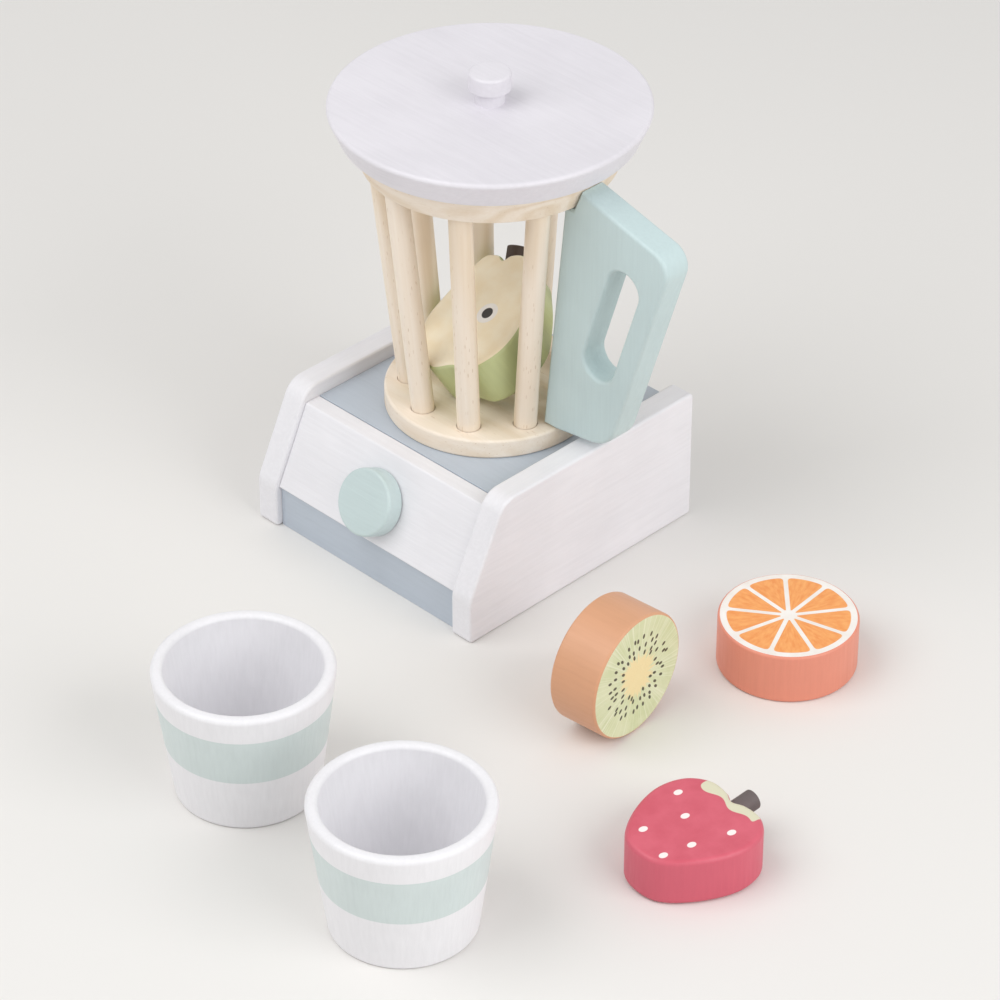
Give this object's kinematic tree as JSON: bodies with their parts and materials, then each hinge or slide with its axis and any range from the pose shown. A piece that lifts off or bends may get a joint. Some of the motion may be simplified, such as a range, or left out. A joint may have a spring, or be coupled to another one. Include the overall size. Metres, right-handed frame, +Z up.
{
  "type": "toy blender",
  "caption": "Wooden toy blender: sloped base with a turning dial, lift-off jar caged in dowels with a slotted handle and a lid, with play cups and cut fruit.",
  "frame": {"origin": "centre of the base's underside, on the surface that the whole set stands on", "axes": "+Z up, -Y out of the sloping front with the dial, +X towards the jar's handle"},
  "size_m": [0.3054, 0.3065, 0.2068],
  "materials": {
    "white_paint": "white water-based paint, satin, on beech and plywood",
    "cup_paint": "white paint with a pale sage band round the middle, satin",
    "sage_paint": "sage green paint, satin",
    "grey_paint": "blue-grey paint, satin",
    "bare_wood": "pale natural hardwood, fine sanded and oiled",
    "pear_paint": "green painted sides with a printed cream cut face",
    "kiwi_paint": "brown painted rim with a printed pale green cut face",
    "orange_paint": "orange painted rim with a printed segmented cut face",
    "berry_paint": "red painted with white seeds printed on the cut face",
    "stem_paint": "dark brown stained wood, matt",
    "screw_steel": "zinc plated"
  },
  "bodies": {
    "base": {"base_side_left": "white_paint", "base_side_right": "white_paint", "base_top_plate": "grey_paint", "base_front_panel": "white_paint", "base_plinth": "grey_paint", "base_back_panel": "white_paint", "base_bottom_board": "bare_wood", "base_batten_left": "bare_wood", "base_batten_right": "bare_wood", "base_screw_1": "screw_steel", "base_screw_2": "screw_steel", "base_screw_3": "screw_steel", "base_screw_4": "screw_steel"},
    "dial": {"dial_knob": "sage_paint", "dial_axle": "bare_wood", "dial_stop_disc": "bare_wood"},
    "jar": {"jar_bottom_disc": "bare_wood", "jar_locating_boss": "bare_wood", "jar_top_ring": "bare_wood", "jar_dowel_1": "bare_wood", "jar_dowel_2": "bare_wood", "jar_dowel_3": "bare_wood", "jar_dowel_4": "bare_wood", "jar_dowel_5": "bare_wood", "jar_dowel_6": "bare_wood", "jar_dowel_7": "bare_wood", "jar_dowel_8": "bare_wood", "jar_dowel_9": "bare_wood", "jar_handle": "sage_paint", "handle_peg_lower": "bare_wood", "handle_peg_upper": "bare_wood"},
    "lid": {"lid_disc": "white_paint", "lid_plug": "bare_wood", "lid_knob": "white_paint", "lid_knob_peg": "bare_wood"},
    "pear": {"pear_slice": "pear_paint", "pear_stem": "stem_paint"},
    "cup_1": {"cup_1": "cup_paint"},
    "cup_2": {"cup_2": "cup_paint"},
    "kiwi": {"kiwi_slice": "kiwi_paint"},
    "orange": {"orange_slice": "orange_paint"},
    "strawberry": {"strawberry_slice": "berry_paint", "strawberry_stem": "stem_paint"}
  },
  "joints": [
    {"name": "dial_turn", "type": "hinge", "parent": "base", "child": "dial", "pos_m": [0, -0.05553, 0.034], "axis": [0, -0.9011, 0.4337], "continuous": true},
    {"name": "jar_lift", "type": "slide", "parent": "base", "child": "jar", "axis": [0, 0, 1], "range_m": [0, 0.08]},
    {"name": "lid_lift", "type": "slide", "parent": "jar", "child": "lid", "axis": [0, 0, 1], "range_m": [0, 0.07]},
    {"name": "pear_lift", "type": "slide", "parent": "jar", "child": "pear", "axis": [0, 0, 1], "range_m": [0, 0.06]},
    {"name": "cup_1_lift", "type": "slide", "parent": "base", "child": "cup_1", "axis": [0, 0, 1], "range_m": [0, 0.08]},
    {"name": "cup_2_lift", "type": "slide", "parent": "base", "child": "cup_2", "axis": [0, 0, 1], "range_m": [0, 0.08]},
    {"name": "kiwi_lift", "type": "slide", "parent": "base", "child": "kiwi", "axis": [0, 0, 1], "range_m": [0, 0.08]},
    {"name": "orange_lift", "type": "slide", "parent": "base", "child": "orange", "axis": [0, 0, 1], "range_m": [0, 0.08]},
    {"name": "strawberry_lift", "type": "slide", "parent": "base", "child": "strawberry", "axis": [0, 0, 1], "range_m": [0, 0.08]}
  ]
}
